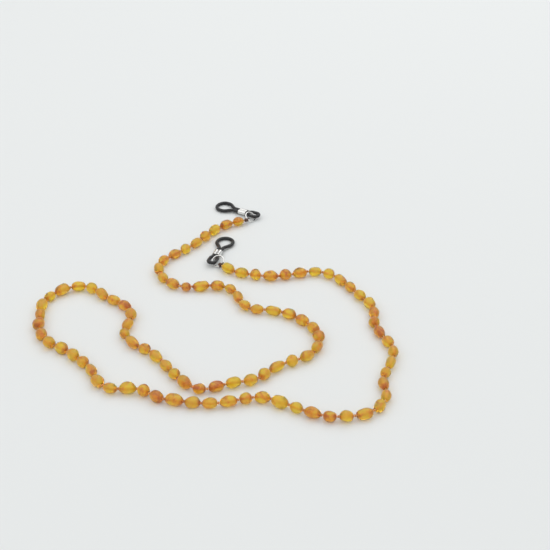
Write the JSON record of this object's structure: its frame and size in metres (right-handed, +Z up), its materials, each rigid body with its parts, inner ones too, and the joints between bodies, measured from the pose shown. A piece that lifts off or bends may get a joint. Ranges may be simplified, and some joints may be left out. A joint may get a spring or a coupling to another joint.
{
  "type": "eyeglass retainer strap",
  "caption": "Beaded strap for a pair of glasses: olive beads on knotted cord, with a steel ring, a rubber temple loop and a sliding steel sleeve at each end.",
  "frame": {"origin": "middle of the laid-out strap's box, at table level", "axes": "+Z up from the table the strap lies on, +Y from the side with the lowest strand towards the side with the two rubber loops, +X to the right of that"},
  "size_m": [0.1647, 0.1701, 0.0048],
  "materials": {
    "amber_honey": "frosted amber, honey yellow",
    "amber_orange": "frosted amber, orange",
    "amber_cognac": "frosted amber, cognac",
    "cord": "waxed twisted cord, reddish brown",
    "end_cord": "waxed twisted cord, dark brown",
    "ring_steel": "bright plated wire",
    "sleeve_steel": "bright plated sheet",
    "loop_rubber": "smooth black"
  },
  "bodies": {
    "strand": {"beads_01_02": "amber_honey", "beads_03_04": "amber_orange", "beads_05_06": "amber_cognac", "beads_07_08": "amber_honey", "beads_09_10": "amber_orange", "beads_11_12": "amber_honey", "beads_13_14": "amber_orange", "beads_15_16": "amber_cognac", "beads_17_18": "amber_honey", "beads_19_20": "amber_orange", "beads_21_22": "amber_honey", "beads_23_24": "amber_orange", "beads_25_26": "amber_cognac", "beads_27_28": "amber_honey", "beads_29_30": "amber_orange", "beads_31_32": "amber_honey", "beads_33_34": "amber_orange", "beads_35_36": "amber_cognac", "beads_37_38": "amber_honey", "beads_39_40": "amber_orange", "beads_41_42": "amber_honey", "beads_43_44": "amber_orange", "beads_45_46": "amber_cognac", "beads_47_48": "amber_honey", "beads_49_50": "amber_orange", "beads_51_52": "amber_honey", "beads_53_54": "amber_orange", "beads_55_56": "amber_cognac", "beads_57_58": "amber_honey", "beads_59_60": "amber_orange", "beads_61_62": "amber_honey", "beads_63_64": "amber_orange", "beads_65_66": "amber_cognac", "beads_67_68": "amber_honey", "beads_69_70": "amber_orange", "beads_71_72": "amber_honey", "beads_73_74": "amber_orange", "beads_75_76": "amber_cognac", "beads_77_78": "amber_honey", "beads_79_80": "amber_orange", "beads_81_82": "amber_honey", "beads_83_84": "amber_orange", "beads_85_86": "amber_cognac", "beads_87_88": "amber_honey", "beads_89_90": "amber_orange", "beads_91_92": "amber_honey", "beads_93_94": "amber_orange", "beads_95_96": "amber_cognac", "thread": "cord", "knots": "cord", "end_knot_near": "end_cord", "end_knot_far": "end_cord"},
    "ring_near_body": {"ring_near": "ring_steel"},
    "loop_near_body": {"temple_loop_near": "loop_rubber"},
    "sleeve_near_body": {"sleeve_near": "sleeve_steel"},
    "ring_far_body": {"ring_far": "ring_steel"},
    "loop_far_body": {"temple_loop_far": "loop_rubber"},
    "sleeve_far_body": {"sleeve_far": "sleeve_steel"}
  },
  "joints": [
    {"name": "ring_swing_near", "type": "hinge", "parent": "strand", "child": "ring_near_body", "pos_m": [0.00113, 0.02489, 0.00105], "axis": [0.9207, 0.2098, 0.329], "range_deg": [0, 50]},
    {"name": "loop_swivel_near", "type": "hinge", "parent": "ring_near_body", "child": "loop_near_body", "pos_m": [-0.00073, 0.02746, 0.00239], "axis": [0, 0, 1], "range_deg": [-12, 10]},
    {"name": "sleeve_slide_near", "type": "slide", "parent": "loop_near_body", "child": "sleeve_near_body", "axis": [0.2917, 0.9541, -0.068], "range_m": [0, 0.0025]},
    {"name": "ring_swing_far", "type": "hinge", "parent": "strand", "child": "ring_far_body", "pos_m": [0.01396, 0.06616, 0.00198], "axis": [0.7094, -0.4096, -0.5736], "range_deg": [0, 70]},
    {"name": "loop_swivel_far", "type": "hinge", "parent": "ring_far_body", "child": "loop_far_body", "pos_m": [0.01583, 0.06941, 0.00198], "axis": [0, 0, 1], "range_deg": [-12, 12]},
    {"name": "sleeve_slide_far", "type": "slide", "parent": "loop_far_body", "child": "sleeve_far_body", "axis": [-0.8649, 0.4993, -0.0512], "range_m": [0, 0.0025]}
  ]
}
